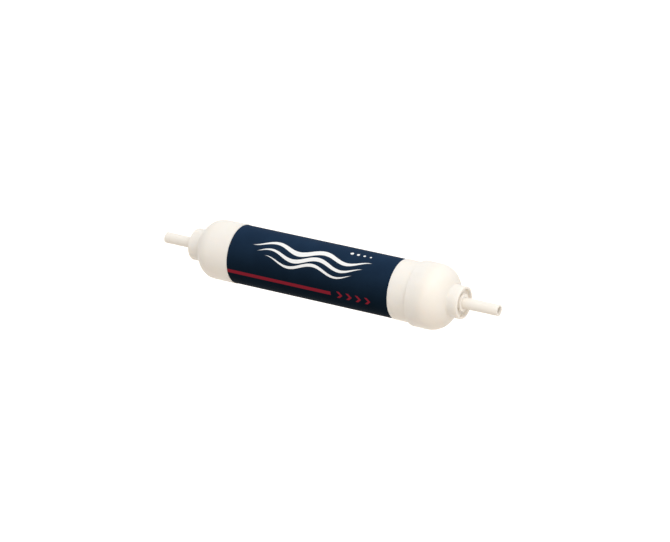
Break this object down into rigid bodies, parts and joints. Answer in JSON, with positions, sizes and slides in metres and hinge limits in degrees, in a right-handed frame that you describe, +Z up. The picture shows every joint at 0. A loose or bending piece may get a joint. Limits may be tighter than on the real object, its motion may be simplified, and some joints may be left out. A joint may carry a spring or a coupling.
{
  "type": "water filter cartridge",
  "caption": "Inline water filter cartridge: sealed white housing with a dark wrap label, a welded cap, and a push-in tube port with a short tube at each end.",
  "frame": {"origin": "on the axis, midway between the two tube ends", "axes": "+X along the axis and the flow, from the inlet tube to the outlet tube; +Z up as the cartridge lies in the picture"},
  "size_m": [0.327, 0.0562, 0.0562],
  "materials": {
    "housing_plastic": "satin moulded polypropylene, warm white",
    "label_film": "smooth printed film, navy",
    "tube_plastic": "smooth extruded polyethylene, natural white",
    "collet_plastic": "smooth moulded acetal, white",
    "port_plastic": "smooth moulded plastic, white",
    "spring_steel": "bright stamped stainless strip",
    "seal_rubber": "smooth moulded rubber, black",
    "carbon": "pressed carbon grain, dull black",
    "felt": "soft non-woven felt, off-white",
    "net_plastic": "moulded open net, white"
  },
  "bodies": {
    "housing": {"housing_bowl": "housing_plastic", "end_cap": "housing_plastic", "label": "label_film", "inlet_tube": "tube_plastic", "outlet_tube": "tube_plastic", "inlet_retainer": "port_plastic", "outlet_retainer": "port_plastic", "inlet_grab_ring": "spring_steel", "outlet_grab_ring": "spring_steel", "inlet_spacer": "port_plastic", "outlet_spacer": "port_plastic", "inlet_o_ring": "seal_rubber", "outlet_o_ring": "seal_rubber", "carbon_block": "carbon", "prefilter_wrap": "felt", "outer_net": "net_plastic", "closed_end_plate": "port_plastic", "outlet_end_plate": "port_plastic", "spigot_o_ring": "seal_rubber"},
    "inlet_release": {"inlet_collet": "collet_plastic"},
    "outlet_release": {"outlet_collet": "collet_plastic"}
  },
  "joints": [
    {"name": "inlet_collet_press", "type": "slide", "parent": "housing", "child": "inlet_release", "axis": [1, 0, 0], "range_m": [0, 0.0013]},
    {"name": "outlet_collet_press", "type": "slide", "parent": "housing", "child": "outlet_release", "axis": [-1, 0, 0], "range_m": [0, 0.0013]}
  ]
}
